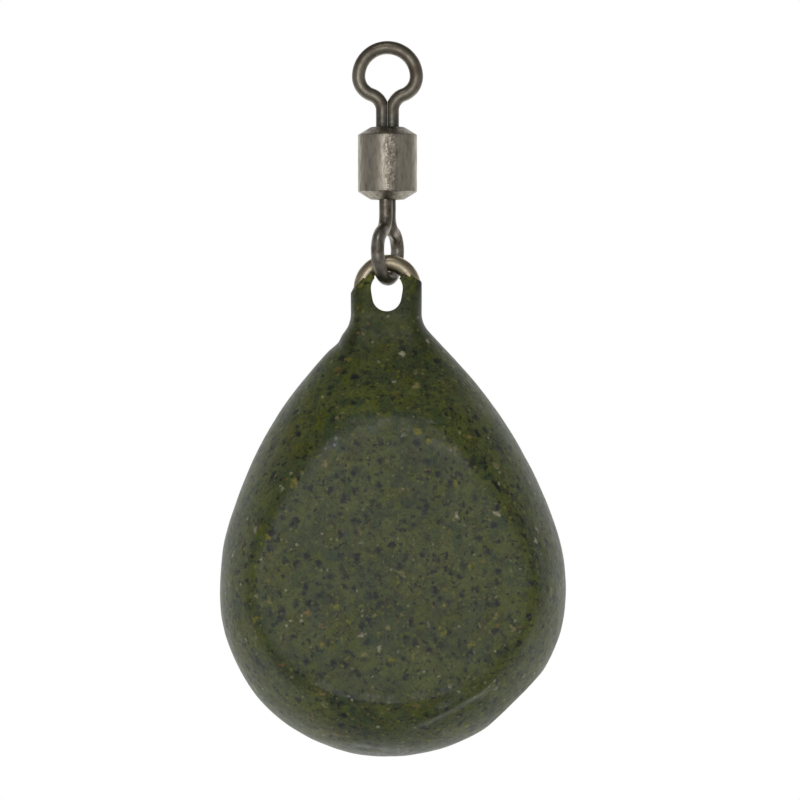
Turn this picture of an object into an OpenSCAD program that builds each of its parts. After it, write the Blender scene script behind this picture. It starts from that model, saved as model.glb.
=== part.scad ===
// Flat pear fishing sinker on a barrel swivel.
// Millimetres, Z up. The origin is the middle of the upper wire eye, from which the sinker hangs.
// Each eye is drawn about its own middle, with its stem pointing down.
// The lead and its loop are drawn about the middle of the loop, then moved down to their place.

/* [Swivel eyes] */
// Diameter of the wire that both swivel eyes are bent from
eye_wire_d = 0.96; // [0.8:0.02:1.1]
// Radius of the round outer half of an eye, to the middle of its wire
eye_r = 2.08; // [2:0.02:2.4]
// Radius of the bend where an eye starts to close
eye_corner_r = 1.4; // [1.2:0.05:1.6]
// Radius of the bend where the wire turns into the stem
eye_neck_r = 1.2; // [1:0.05:1.4]
// Width of a stem, across its two legs side by side
stem_w = 1.66; // [1.5:0.02:1.8]
// Gap between the two legs of a stem
leg_gap = 0.04; // [0.02:0.01:0.08]
// Distance from the middle of an eye to the end of the barrel
eye_reach = 3.64; // [3.2:0.02:4.4]
// Turn of the lower eye about the swivel's axis, from the plane of the upper eye
lower_eye_turn = 70; // [60:2:120]

/* [Barrel] */
// Outside diameter of the barrel
barrel_d = 4.25; // [4:0.05:5]
// Length of the barrel
barrel_l = 5.22; // [4.8:0.02:7]
// Wall of the barrel's tube
barrel_wall = 0.55; // [0.4:0.05:0.6]
// Wall of the barrel's closed-in ends
end_wall = 0.5; // [0.4:0.05:0.6]
// Width of the bevel on each end of the barrel, measured inwards
bevel_w = 0.93; // [0.7:0.01:1]
// Height of that bevel, measured along the barrel
bevel_h = 0.56; // [0.4:0.01:0.8]
// Running clearance round a stem in the end of the barrel
stem_clearance = 0.05; // [0.02:0.01:0.1]

/* [Beads] */
// Diameter of the bead that holds a stem inside the barrel
bead_d = 2.6; // [2.3:0.05:2.7]
// Height of a bead
bead_h = 1; // [0.8:0.05:1.3]
// Bevel on the edges of a bead
bead_bevel = 0.28; // [0.2:0.02:0.3]
// Running clearance between a bead and the end of the barrel
bead_play = 0.05; // [0.02:0.01:0.1]

/* [Wire loop] */
// Diameter of the wire of the loop that is cast into the lead
loop_wire_d = 1.18; // [1:0.02:1.3]
// Radius of the loop, to the middle of its wire
loop_r = 1.84; // [1.8:0.02:2.1]
// How far past its widest line the loop stays round, as an angle
loop_close_angle = 27; // [20:1:35]
// Distance between the loop's two anchor legs, from middle to middle
loop_legs = 1.9; // [1.7:0.05:2.2]
// Radius of the bend where the loop turns into its legs
loop_bend_r = 0.9; // [0.7:0.05:1.2]
// Length of the straight anchor legs inside the lead
loop_leg_l = 5; // [3:0.5:8]
// Radius of the bend at the foot of each leg
foot_bend_r = 1; // [0.8:0.1:1.5]
// Straight length of each foot
foot_l = 1.2; // [0.5:0.1:2]
// Gap that is left where the lower eye hangs in the loop
link_gap = 0.1; // [0.06:0.01:0.15]

/* [Lead] */
// Width of the lead at its widest line
body_w = 24.9; // [22:0.1:30]
// Thickness of the lead, from flat to flat
body_t = 14.1; // [11:0.1:16]
// Depth of the widest line below the middle of the loop
widest_drop = 21.75; // [20.5:0.05:25]
// Height of the round base, from the widest line to the bottom
base_h = 11.95; // [11:0.05:14]
// How far the belly lies to the right of the loop, because the casting isn't quite even
belly_shift = 0.38; // [0:0.02:0.5]
// Radius of the outline just above the widest line
belly_r = 15.5; // [13:0.5:18]
// Lean of the outline where the belly meets the flank, in degrees
belly_angle = 16; // [12:1:20]
// Radius of the long flank
flank_r = 30; // [24:0.5:31]
// Lean of the outline where the flank becomes straight, in degrees
flank_angle = 41.5; // [38:0.5:44]
// Radius of the hollow where the flank meets the nose
nose_fillet_r = 2; // [1.5:0.1:2.5]
// Width of the flat nose that holds the loop
nose_w = 5.12; // [5.04:0.02:5.8]
// Thickness of the nose where it meets the body
nose_t = 3; // [2.6:0.1:3.6]
// Width of the nose at its very tip
nose_tip_w = 4.66; // [4.6:0.02:4.9]
// Thickness of the nose at its very tip
nose_tip_t = 1.5; // [1.44:0.02:1.8]
// Height of the nose's tip above the middle of the loop
nose_tip_rise = 0.8; // [0.7:0.02:0.9]
// Height of the bevelled corners at the nose's tip
nose_corner_h = 0.6; // [0.4:0.05:0.8]

/* [Flat panels] */
// Width of the flat panel on each face of the lead
panel_w = 19.7; // [16:0.1:21]
// Depth of the panel's top below the middle of the loop
panel_top_drop = 9.6; // [8.5:0.1:11]
// Depth of the panel's widest line below the middle of the loop
panel_wide_drop = 21.1; // [19:0.1:23]
// Depth of the panel's bottom below the middle of the loop
panel_bottom_drop = 29.5; // [28:0.1:30.5]

/* [Coating] */
// Thickness of the coating on the lead
coat_t = 0.25; // [0.15:0.05:0.4]
// Thickness of the skin between the loop's wire and the hole in the nose
hole_skin = 0.1; // [0.06:0.01:0.12]
// Depth of the hole in the nose below the middle of the loop
hole_drop = 1.67; // [1.6:0.01:1.8]
// Radius of the narrow lower end of that hole
hole_end_r = 0.92; // [0.8:0.02:1]

/* [Gate mark] */
// Direction of the flat that is left where the casting gate was cut off, below the horizontal
gate_angle = 45; // [38:0.5:52]
// How deep that flat is cut into the round base
gate_cut = 0.34; // [0.2:0.02:0.5]

/* [Hidden] */
$fn = 64;

// One overrun serves every cut that runs out of a solid
overrun = 1;
// Where two bends of wire meet, one is this much thinner and laps this far into the other
lap_step = 0.03;
lap = 0.02;

// The eyes: middle of each leg, then the tangent point between the corner bend and the neck bend
leg_x = (stem_w - eye_wire_d) / 2;
corner_x = eye_r - eye_corner_r;
neck_x = leg_x + eye_neck_r;
neck_turn = asin((neck_x - corner_x) / (eye_corner_r + eye_neck_r));
neck_z = -(eye_corner_r + eye_neck_r) * cos(neck_turn);
stem_end_z = -eye_reach - end_wall - bead_play - bead_h;

// The barrel and the places that follow from it
barrel_r = barrel_d / 2;
stem_hole_r = stem_w / 2 + stem_clearance;
cavity_r = barrel_r - barrel_wall;
cavity_bevel_w = bevel_w / 2;
cavity_bevel_h = bevel_h / 2;
barrel_top_z = -eye_reach;
barrel_bottom_z = barrel_top_z - barrel_l;
lower_eye_z = barrel_bottom_z - eye_reach;

// The loop hangs inside the lower eye, wire against wire
loop_z = lower_eye_z - (eye_r - eye_wire_d / 2) - (loop_r - loop_wire_d / 2) + link_gap;
loop_leg_x = loop_legs / 2;
loop_start_x = loop_r * cos(loop_close_angle);
loop_run = (loop_start_x - loop_leg_x - loop_bend_r * (1 - cos(loop_close_angle))) / sin(loop_close_angle);
loop_run_z = -loop_r * sin(loop_close_angle) - loop_run * cos(loop_close_angle);
loop_bend_z = loop_run_z - loop_bend_r * sin(loop_close_angle);
loop_foot_z = loop_bend_z - loop_leg_l;

// The hole in the nose is a round end that narrows to a smaller one
hole_r = loop_r - loop_wire_d / 2 - hole_skin;
hole_end_drop = hole_drop - hole_end_r;
hole_lean = asin((hole_r - hole_end_r) / hole_end_drop);
core_top = -hole_drop - coat_t;

// The outline of the lead: each arc starts where the one before it ends, at the same lean
half_w = body_w / 2;
half_t = body_t / 2;
widest_z = -widest_drop;
bottom_z = widest_z - base_h;
belly_x = half_w - belly_r;
flank_x = belly_x + (belly_r - flank_r) * cos(belly_angle);
flank_z = widest_z + (belly_r - flank_r) * sin(belly_angle);
flank_reach = flank_x * cos(flank_angle) + flank_z * sin(flank_angle) + flank_r;
fillet_x = nose_w / 2 + nose_fillet_r;
fillet_z = (flank_reach + nose_fillet_r - fillet_x * cos(flank_angle)) / sin(flank_angle);

// The flat panel's outline is rounder below its widest line than above it
panel_top_z = -panel_top_drop;
panel_wide_z = -panel_wide_drop;
panel_bottom_z = -panel_bottom_drop;
panel_rise_share = 1.5;
panel_round_share = 0.55;
// Outside the panel, only this share of the half width is level across the middle
ridge_share = 0.1;
// How steeply the body starts to thin out above the panel
neck_start_share = 0.9;
nose_level_share = 0.72;

// The gate's flat, as a direction and a distance from the middle of the loop
gate_x = cos(gate_angle);
gate_z = -sin(gate_angle);
gate_span = norm([half_w * gate_x, base_h * gate_z]);
gate_shift = belly_shift * (1 - pow(base_h * gate_z / gate_span, 2));
gate_reach = gate_span + gate_shift * gate_x + widest_z * gate_z - gate_cut;

// How finely the lead is drawn
level_steps = 2;
round_steps = 9;
bottom_steps = 6;
base_steps = 7;
belly_steps = 3;
flank_steps = 7;
neck_steps = 3;
fillet_steps = 4;
nose_steps = 3;
hole_steps = 10;

function ease(u) = u * u * (3 - 2 * u);
function share(z, from, to) = max(0, min(1, (z - from) / (to - from)));

// Half the width of the lead at height z, drawn in by the distance inset
function half_width(z, inset) =
    z < widest_z ? (half_w - inset) * sqrt(max(0, 1 - pow((widest_z - z) / (base_h - inset), 2))) :
    z < widest_z + (belly_r - inset) * sin(belly_angle) ?
        belly_x + sqrt(pow(belly_r - inset, 2) - pow(z - widest_z, 2)) :
    z < flank_z + (flank_r - inset) * sin(flank_angle) ?
        flank_x + sqrt(pow(flank_r - inset, 2) - pow(z - flank_z, 2)) :
    z < fillet_z - (nose_fillet_r + inset) * sin(flank_angle) ?
        (flank_reach - inset - z * sin(flank_angle)) / cos(flank_angle) :
    z < fillet_z ? fillet_x - sqrt(pow(nose_fillet_r + inset, 2) - pow(z - fillet_z, 2)) :
    nose_w / 2 - inset - (nose_w - nose_tip_w) / 2 * share(z, nose_tip_rise - nose_corner_h, nose_tip_rise);

// The body is a pillow cut off level by the two panels. Above them it thins out to the nose
function thinning(u) = u * (neck_start_share + u * (3 - 2 * neck_start_share + u * (neck_start_share - 2)));
function base_round(z, inset) = sqrt(max(0, 1 - pow((panel_wide_z - z) / (panel_wide_z - bottom_z - inset), 2)));

// Half the thickness of the lead at height z, drawn in by the distance inset
function half_thick(z, inset) =
    z < panel_bottom_z ? (half_t - inset) * base_round(z, inset) / base_round(panel_bottom_z, inset) :
    z < panel_top_z ? half_t - inset :
    z < fillet_z ? half_t - inset - (half_t - nose_t / 2) * thinning(share(z, panel_top_z, fillet_z)) :
    nose_t / 2 - inset - (nose_t - nose_tip_t) / 2 * share(z, fillet_z, nose_tip_rise);

// Half the width of the level middle part of the face at height z
function panel_half(z) =
    z < panel_wide_z ? panel_w / 2 * sqrt(max(0, 1 - pow(share(z, panel_wide_z, panel_bottom_z), 2))) :
    panel_w / 2 * pow(1 - pow(share(z, panel_wide_z, panel_top_z), panel_rise_share), panel_round_share);
function level_share(z) =
    ridge_share + (nose_level_share - ridge_share) * ease(share(z, panel_top_z, fillet_z));
function level_half(z, inset) = max(panel_half(z), level_share(z) * half_width(z, inset));

// How far the middle of the section lies to the right at height z
function shift(z) = belly_shift * (
    z < widest_z ? 1 - pow((widest_z - z) / base_h, 2) : 1 - ease(share(z, widest_z, fillet_z)));

// One quarter of the section at a height: level across the middle, then round to the side
function quarter(w, t, p) =
    let (start = asin(p / w)) [
        for (i = [0 : level_steps - 1]) [p * i / level_steps, t],
        for (i = [0 : round_steps])
            let (a = start + (90 - start) * i / round_steps)
            [w * sin(a), t * cos(a) / cos(start)]
    ];

// A point beyond the gate's flat is brought back onto it
function gated(p, inset) =
    let (over = p.x * gate_x + p.z * gate_z - gate_reach + inset)
    over > 0 ? [p.x - over * gate_x, p.y, p.z - over * gate_z] : p;

function ring(z, inset) =
    let (
        q = quarter(half_width(z, inset), half_thick(z, inset), level_half(z, inset)),
        n = level_steps + round_steps,
        x = shift(z)
    ) [
        for (i = [0 : n]) gated([x + q[i].x, q[i].y, z], inset),
        for (i = [n - 1 : -1 : 0]) gated([x + q[i].x, -q[i].y, z], inset),
        for (i = [1 : n]) gated([x - q[i].x, -q[i].y, z], inset),
        for (i = [n - 1 : -1 : 1]) gated([x - q[i].x, q[i].y, z], inset)
    ];

// Heights of the rings, from the bottom up, closer together at the panel's bottom and top
function heights(inset, top) =
    let (
        base_r = base_h - inset,
        lean = asin((widest_z - panel_bottom_z) / base_r),
        belly_z = widest_z + (belly_r - inset) * sin(belly_angle),
        flank_top_z = flank_z + (flank_r - inset) * sin(flank_angle)
    ) [
    for (i = [1 : bottom_steps]) widest_z - base_r * sin(90 - (90 - lean) * i / bottom_steps),
    for (i = [1 : base_steps]) widest_z + (panel_bottom_z - widest_z) * cos(90 * i / base_steps),
    for (i = [1 : belly_steps]) widest_z + (belly_r - inset) * sin(belly_angle * i / belly_steps),
    for (i = [1 : flank_steps]) belly_z + (panel_top_z - belly_z) * sin(90 * i / flank_steps),
    for (i = [1 : neck_steps]) panel_top_z + (flank_top_z - panel_top_z) * i / neck_steps,
    for (i = [0 : fillet_steps])
        fillet_z - (nose_fillet_r + inset) * sin(flank_angle * (1 - i / fillet_steps)),
    if (top > fillet_z) for (i = [1 : nose_steps])
        fillet_z + (top - nose_corner_h - fillet_z) * i / nose_steps,
    if (top > fillet_z) top
];

// The whole lead, drawn in by the distance inset and ending level at the height top.
// Each square of its skin is split along the lean of the panel's edge, alike on all four quarters
module pear(inset, top) {
    zs = [for (z = heights(inset, top)) if (z < top - inset || z == top) z];
    levels = zs[len(zs) - 1] == top ? zs : concat(zs, [top]);
    n = 4 * (level_steps + round_steps);
    m = len(levels);
    ends = [[0, 0, bottom_z + inset], [0, 0, top]];
    points = concat([for (z = levels) each ring(z, inset)], ends);
    sides = [
        for (k = [0 : m - 2]) for (i = [0 : n - 1])
            let (
                a = k * n + i,
                b = k * n + (i + 1) % n,
                outwards = floor(4 * i / n) % 2 == 0,
                narrows = levels[k] > panel_wide_z
            )
            each outwards == narrows ? [[a, b, b + n], [a, b + n, a + n]] : [[a, b, a + n], [b, b + n, a + n]]
    ];
    base = [for (i = [0 : n - 1]) [m * n, (i + 1) % n, i]];
    cap = [for (i = [0 : n - 1]) [m * n + 1, (m - 1) * n + i, (m - 1) * n + (i + 1) % n]];
    polyhedron(points = points, faces = concat(sides, base, cap));
}

// Wire bent to a circle in the upright plane, from one angle to another, either way round
module wire_arc(r, from, to, d)
    rotate([90, 0, 0])
        rotate([to < from ? 180 : 0, 0, to < from ? -from : from])
            rotate_extrude(angle = abs(to - from))
                translate([r, 0])
                    circle(d = d);

// The same, a hair thinner and lapped into the wire at both of its ends, so that they fuse
module lapped_arc(r, from, to, d)
    wire_arc(r, from - lap / r * 180 / PI, to + lap / r * 180 / PI, d - lap_step);

// Straight wire from a point in the upright plane, leaning from straight down towards +X
module wire_run(x, z, lean, length, d)
    translate([x, 0, z])
        rotate([0, 180 - lean, 0])
            cylinder(d = d, h = length);

// The same, lapped at both of its ends
module lapped_run(x, z, lean, length, d)
    wire_run(x - lap * sin(lean), z + lap * cos(lean), lean, length + 2 * lap, d - lap_step);

// One side of an eye below its middle: the corner, the neck and the leg, pressed flat against the other side
module eye_side()
    intersection() {
        union() {
            translate([corner_x, 0, 0])
                lapped_arc(eye_corner_r, neck_turn - 90, 0, eye_wire_d);
            translate([neck_x, 0, neck_z])
                wire_arc(eye_neck_r, 180, 90 + neck_turn, eye_wire_d);
            wire_run(leg_x, neck_z, 0, neck_z - stem_end_z, eye_wire_d);
        }
        translate([leg_gap / 2, -eye_r, stem_end_z - overrun])
            cube([2 * eye_r, 2 * eye_r, eye_r + overrun - stem_end_z]);
    }

module eye() {
    wire_arc(eye_r, 0, 180, eye_wire_d);
    eye_side();
    mirror([1, 0, 0])
        eye_side();
}

// The bead is crimped onto both legs, so its hole has their outline
module bead()
    translate([0, 0, stem_end_z])
        difference() {
            rotate_extrude()
                polygon([
                    [0, 0], [bead_d / 2 - bead_bevel, 0], [bead_d / 2, bead_bevel],
                    [bead_d / 2, bead_h - bead_bevel], [bead_d / 2 - bead_bevel, bead_h], [0, bead_h]
                ]);
            for (x = [-leg_x, leg_x])
                translate([x, 0, -overrun])
                    cylinder(d = eye_wire_d, h = bead_h + 2 * overrun);
        }

module at_lower_eye()
    translate([0, 0, lower_eye_z])
        rotate([0, 0, lower_eye_turn])
            rotate([180, 0, 0])
                children();

module upper_eye() color("#8a8272") eye();
module upper_bead() color("#9a8a62") bead();
module lower_eye() color("#857c6c") at_lower_eye() eye();
module lower_bead() color("#9a8a62") at_lower_eye() bead();

module swivel_barrel()
    color("#7d7566")
        translate([0, 0, barrel_bottom_z])
            rotate_extrude()
                polygon([
                    [stem_hole_r, 0], [barrel_r - bevel_w, 0], [barrel_r, bevel_h],
                    [barrel_r, barrel_l - bevel_h], [barrel_r - bevel_w, barrel_l], [stem_hole_r, barrel_l],
                    [stem_hole_r, barrel_l - end_wall], [cavity_r - cavity_bevel_w, barrel_l - end_wall],
                    [cavity_r, barrel_l - end_wall - cavity_bevel_h], [cavity_r, end_wall + cavity_bevel_h],
                    [cavity_r - cavity_bevel_w, end_wall], [stem_hole_r, end_wall]
                ]);

// The loop's wire below its round part: a straight run inwards, an anchor leg and a foot
module loop_side() {
    lapped_run(loop_start_x, -loop_r * sin(loop_close_angle), -loop_close_angle, loop_run, loop_wire_d);
    translate([loop_leg_x + loop_bend_r, 0, loop_bend_z])
        wire_arc(loop_bend_r, 180, 180 - loop_close_angle, loop_wire_d);
    wire_run(loop_leg_x, loop_bend_z, 0, loop_leg_l, loop_wire_d);
    translate([loop_leg_x + foot_bend_r, 0, loop_foot_z])
        wire_arc(foot_bend_r, 180, 270, loop_wire_d);
    wire_run(loop_leg_x + foot_bend_r, loop_foot_z - foot_bend_r, 90, foot_l, loop_wire_d);
}

module loop_wire() {
    wire_arc(loop_r, -loop_close_angle, 180 + loop_close_angle, loop_wire_d);
    loop_side();
    mirror([1, 0, 0])
        loop_side();
}

// The hole's outline: the upper arc, then the smaller lower one
module hole()
    rotate([90, 0, 0])
        linear_extrude(height = nose_t + 2 * overrun, center = true)
            polygon([
                for (i = [0 : hole_steps])
                    let (a = -hole_lean + (180 + 2 * hole_lean) * i / hole_steps)
                    hole_r * [cos(a), sin(a)],
                for (i = [0 : hole_steps])
                    let (a = 180 + hole_lean + (180 - 2 * hole_lean) * i / hole_steps)
                    hole_end_r * [cos(a), sin(a)] - [0, hole_end_drop]
            ]);

module cast_in_loop() color("#a08c5e") translate([0, 0, loop_z]) loop_wire();

module lead_core()
    color("#70747a")
        translate([0, 0, loop_z])
            difference() {
                pear(coat_t, core_top);
                loop_wire();
            }

module coating()
    color("#3f4a2c")
        translate([0, 0, loop_z])
            difference() {
                pear(0, nose_tip_rise);
                pear(coat_t, core_top);
                hole();
                loop_wire();
            }

upper_eye();
upper_bead();
swivel_barrel();
lower_bead();
lower_eye();
cast_in_loop();
lead_core();
coating();
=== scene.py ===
# %% [markdown]
# # A coated fishing sinker on its swivel
# A flat pear of lead hangs from a barrel swivel by a loop of wire that is cast into its nose.
# The sizes were settled before this script. It gives the part the looks of the real one:
# bent and dulled wire, a worn barrel, and a speckled green coating over a slightly uneven casting.
# The first cell loads the finished sizes, and no step after it moves or changes them.

import math
import bmesh
import bpy
import numpy as np
from mathutils import Matrix, Vector, noise


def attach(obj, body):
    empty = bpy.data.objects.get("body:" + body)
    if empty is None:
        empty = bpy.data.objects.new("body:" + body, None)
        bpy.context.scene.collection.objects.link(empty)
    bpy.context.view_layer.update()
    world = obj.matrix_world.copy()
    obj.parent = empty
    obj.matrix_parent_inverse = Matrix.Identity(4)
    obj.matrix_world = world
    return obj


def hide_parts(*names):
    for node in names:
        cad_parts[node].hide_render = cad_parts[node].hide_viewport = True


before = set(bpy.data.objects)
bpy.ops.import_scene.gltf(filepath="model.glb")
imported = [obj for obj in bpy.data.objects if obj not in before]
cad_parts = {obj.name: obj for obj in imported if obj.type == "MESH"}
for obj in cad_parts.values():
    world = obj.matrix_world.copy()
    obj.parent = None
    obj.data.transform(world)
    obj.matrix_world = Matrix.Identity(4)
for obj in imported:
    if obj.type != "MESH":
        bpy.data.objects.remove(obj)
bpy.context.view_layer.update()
MM = 0.001

# %% [markdown]
# ## The camera
# The photograph looks straight at the flat face, from far enough away that nothing seems to taper.
# A long lens at 400 mm gives that view. The frame is 57.6 mm wide at the middle of the sinker.


# %% Camera
def new_object(name, data):
    """Adds an object with this data to the scene."""
    made = bpy.data.objects.new(name, data)
    bpy.context.scene.collection.objects.link(made)
    return made


VIEW_WIDTH = 57.6 * MM
LENS = 250.0
camera_data = bpy.data.cameras.new("camera")
camera_data.lens = LENS
camera_data.clip_start, camera_data.clip_end = 0.01, 10
camera = new_object("camera", camera_data)
camera.location = (0.9 * MM, -VIEW_WIDTH * LENS / camera_data.sensor_width, -23.29 * MM)
camera.rotation_euler = (math.radians(90), 0, 0)
bpy.context.scene.camera = camera
print("camera distance in mm:", round(-camera.location.y / MM))

# %% [markdown]
# ## Small helpers for node trees
# Every material and every geometry tree below is a list of nodes and wires.
# They could be clicked together by hand, but a list can be read, changed and run again.
# A few short helpers keep it readable: one adds a node and fills its sockets, one empties a tree,
# and the rest are the sums, climbs and mixes that come up all the time.


# %% Add a node
def add(tree, kind, sockets=None, **settings):
    """Adds a node. A socket is filled with a value, or wired from another socket."""
    made = tree.nodes.new(kind)
    for name, value in settings.items():
        setattr(made, name, value)
    for name, value in (sockets or {}).items():
        if isinstance(value, bpy.types.NodeSocket):
            tree.links.new(value, made.inputs[name])
        else:
            made.inputs[name].default_value = value
    return made


def emptied(owner):
    """The node tree of a material or a world, switched on and emptied."""
    owner.use_nodes = True
    owner.node_tree.nodes.clear()
    return owner.node_tree


print("a node is added with its sockets filled")


# %% Sums, climbs and mixes
def math_node(tree, operation, first, second=None, clamp=False):
    """One sum of one or two values or sockets, as a socket."""
    sockets = {i: v for i, v in enumerate((first, second)) if v is not None}
    return add(tree, "ShaderNodeMath", sockets, operation=operation, use_clamp=clamp).outputs[0]


def plus(tree, first, second):
    """Two values added."""
    return math_node(tree, "ADD", first, second)


def times(tree, first, second, clamp=False):
    """Two values multiplied, and held between nought and one if asked."""
    return math_node(tree, "MULTIPLY", first, second, clamp)


def climb(tree, value, start, full, low=0.0, high=1.0, smooth=False):
    """Goes from low to high while the value goes from start to full, and stays level past them."""
    return add(tree, "ShaderNodeMapRange",
               {"Value": value, "From Min": start, "From Max": full, "To Min": low, "To Max": high},
               interpolation_type="SMOOTHSTEP" if smooth else "LINEAR").outputs[0]


def mix_colour(tree, factor, first, second):
    """Two colours mixed, as a socket."""
    made = tree.nodes.new("ShaderNodeMix")
    made.data_type = "RGBA"
    for index, value in ((0, factor), (6, first), (7, second)):
        if isinstance(value, bpy.types.NodeSocket):
            tree.links.new(value, made.inputs[index])
        else:
            made.inputs[index].default_value = value
    return made.outputs[2]


print("values can be added, multiplied, ramped and mixed")

# %% [markdown]
# ## Floor, background and light
# The object hangs in the air in front of plain white. A pale floor lies below it and keeps its shadow.
# The floor fades into the white with distance, and it isn't drawn from below, so that the base of the
# lead can be looked at. What the metal and the coating mirror is a soft room: white behind the object,
# half dark at the sides and a little darker above. A photographer would get that with a paper sheet
# behind the object. It draws the pale rim round the dark pear.

# %% Floor
FLOOR_Z, FLOOR_R, PALE = -130 * MM, 0.26, 0.86
floor_mesh = bpy.data.meshes.new("floor")
shape = bmesh.new()
bmesh.ops.create_circle(shape, cap_ends=True, segments=96, radius=FLOOR_R)
bmesh.ops.translate(shape, verts=shape.verts, vec=(0, 0, FLOOR_Z))
shape.to_mesh(floor_mesh)
shape.free()
floor = new_object("floor", floor_mesh)
print("floor lies", round(-FLOOR_Z / MM), "mm below the upper eye")

# %% The floor's paint
floor_paint = bpy.data.materials.new("pale_floor")
tree = emptied(floor_paint)
place = add(tree, "ShaderNodeTexCoord").outputs["Object"]
reach = add(tree, "ShaderNodeVectorMath", {0: place}, operation="LENGTH").outputs["Value"]
fade = climb(tree, reach, 0.1, 0.2, low=0.35, smooth=True)
path = add(tree, "ShaderNodeLightPath").outputs
behind = climb(tree, add(tree, "ShaderNodeSeparateXYZ", {0: place}).outputs["Y"], 0.0, 0.06)
mirrored = math_node(tree, "MAXIMUM", path["Is Glossy Ray"], path["Is Transmission Ray"])
seen = math_node(tree, "MAXIMUM", times(tree, fade, path["Is Camera Ray"]), times(tree, behind, mirrored))
paint = add(tree, "ShaderNodeBsdfDiffuse", {"Color": (PALE, PALE, PALE, 1)})
glow = add(tree, "ShaderNodeEmission", {"Color": (1, 1, 1, 1), "Strength": 1.0})
blend = add(tree, "ShaderNodeMixShader", {0: seen, 1: paint.outputs[0], 2: glow.outputs[0]})
underside = add(tree, "ShaderNodeNewGeometry").outputs["Backfacing"]
from_below = times(tree, underside, path["Is Camera Ray"])
clear = add(tree, "ShaderNodeBsdfTransparent")
blend = add(tree, "ShaderNodeMixShader", {0: from_below, 1: blend.outputs[0], 2: clear.outputs[0]})
add(tree, "ShaderNodeOutputMaterial", {"Surface": blend.outputs[0]})
floor_mesh.materials.append(floor_paint)
print("floor is painted with", floor_paint.name)

# %% Room
world = bpy.data.worlds.new("soft_room")
bpy.context.scene.world = world
tree = emptied(world)
path = add(tree, "ShaderNodeLightPath").outputs
aim = add(tree, "ShaderNodeSeparateXYZ",
          {0: add(tree, "ShaderNodeTexCoord").outputs["Generated"]}).outputs
glows = (
    # axis, where it starts, where it is full, its strength
    ("Y", 0.3, 0.95, 0.68),
    ("Y", -0.84, -0.98, 0.4),
    ("Z", 0.15, 0.7, -0.22),
)
room_light = 0.34
for axis, start, full, strength in glows:
    room_light = plus(tree, climb(tree, aim[axis], start, full, high=strength, smooth=True), room_light)
room_light = math_node(tree, "MINIMUM", room_light, 1.0)
behind = climb(tree, aim["Y"], 0.6, 0.9)
mirrored = math_node(tree, "MAXIMUM", path["Is Glossy Ray"], path["Is Transmission Ray"])
seen = math_node(tree, "MAXIMUM", path["Is Camera Ray"], times(tree, mirrored, behind))
level = mix_colour(tree, seen, room_light, (1, 1, 1, 1))
sky = add(tree, "ShaderNodeBackground", {"Color": level, "Strength": 1.0})
add(tree, "ShaderNodeOutputWorld", {"Surface": sky.outputs[0]})
print("room made, with", len(glows), "soft changes of brightness")


# %% Lamps
def lamp(name, place, aim, width, height, watts):
    """A soft rectangular lamp at a place, turned to face another, in mm."""
    data = bpy.data.lights.new(name, "AREA")
    data.shape, data.size, data.size_y = "RECTANGLE", width * MM, height * MM
    data.energy = watts
    made = new_object(name, data)
    made.location = Vector(place) * MM
    made.rotation_euler = (Vector(aim) - Vector(place)).to_track_quat("-Z", "Y").to_euler()
    return made


centre = (0, 0, -25)
lamp("front", (-90, -380, -10), centre, 180, 140, 0.12)
lamp("top", (-30, -240, 300), centre, 90, 50, 0.12)
lamp("low", (110, -290, -230), centre, 140, 90, 0.06)

# %% [markdown]
# ## Wire, bent to a path
# Both eyes and the cast-in loop are round wire bent over pins. A smooth way to make bent wire is
# to draw the path of its middle and to sweep a circle along it. A geometry node tree does the sweep,
# so its radius, its number of sides and the depth of its small dents are named inputs.
# The path itself is arcs and straights that meet without a kink, at an even spacing.


# %% Points on a path
def bend(x, z, radius, start, stop):
    """Points of an arc round (x, z), in mm, half a tenth apart, with angles in degrees."""
    count = max(2, round(abs(math.radians(stop - start)) * radius / 0.05))
    turns = [math.radians(start + (stop - start) * i / count) for i in range(count + 1)]
    return [(x + radius * math.cos(a), z + radius * math.sin(a)) for a in turns]


def straight(start, stop):
    """Points of a straight length of wire, in mm, a tenth apart."""
    count = max(2, round(math.dist(start, stop) / 0.1))
    return [(start[0] + (stop[0] - start[0]) * i / count, start[1] + (stop[1] - start[1]) * i / count)
            for i in range(count + 1)]


def both_sides(half):
    """The right half of a path, from its foot to the top, and then its mirror image back down."""
    clean = [half[0]] + [q for p, q in zip(half, half[1:]) if math.dist(p, q) > 1e-6]
    return clean + [(-x, z) for x, z in reversed(clean[:-1])]


print("a quarter bend of 2 mm has", len(bend(0, 0, 2, 0, 90)), "points")

# %% [markdown]
# ## Recipes with named inputs
# The wire, the metal's stains and the paint's speckles are recipes that are used many times. A node group
# keeps a recipe in one place, and its named inputs say what can be changed each time. Copies of the nodes
# would do the same, but a change would then have to be made in each copy. Most recipes start with noise.


# %% Make a group, and add noise
def new_group(name, kind, inputs, outputs):
    """A node group. An input has its default value, or else its socket's type, as an output has."""
    types = {float: "Float", int: "Int", tuple: "Color"}
    tree = bpy.data.node_groups.new(name, kind)
    for label, value in inputs.items():
        typed = isinstance(value, str)
        socket = "NodeSocket" + (value if typed else types[type(value)])
        made = tree.interface.new_socket(label, in_out="INPUT", socket_type=socket)
        if not typed:
            made.default_value = value
    for label, socket in outputs.items():
        tree.interface.new_socket(label, in_out="OUTPUT", socket_type="NodeSocket" + socket)
    return tree, tree.nodes.new("NodeGroupInput").outputs, tree.nodes.new("NodeGroupOutput").inputs


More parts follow.
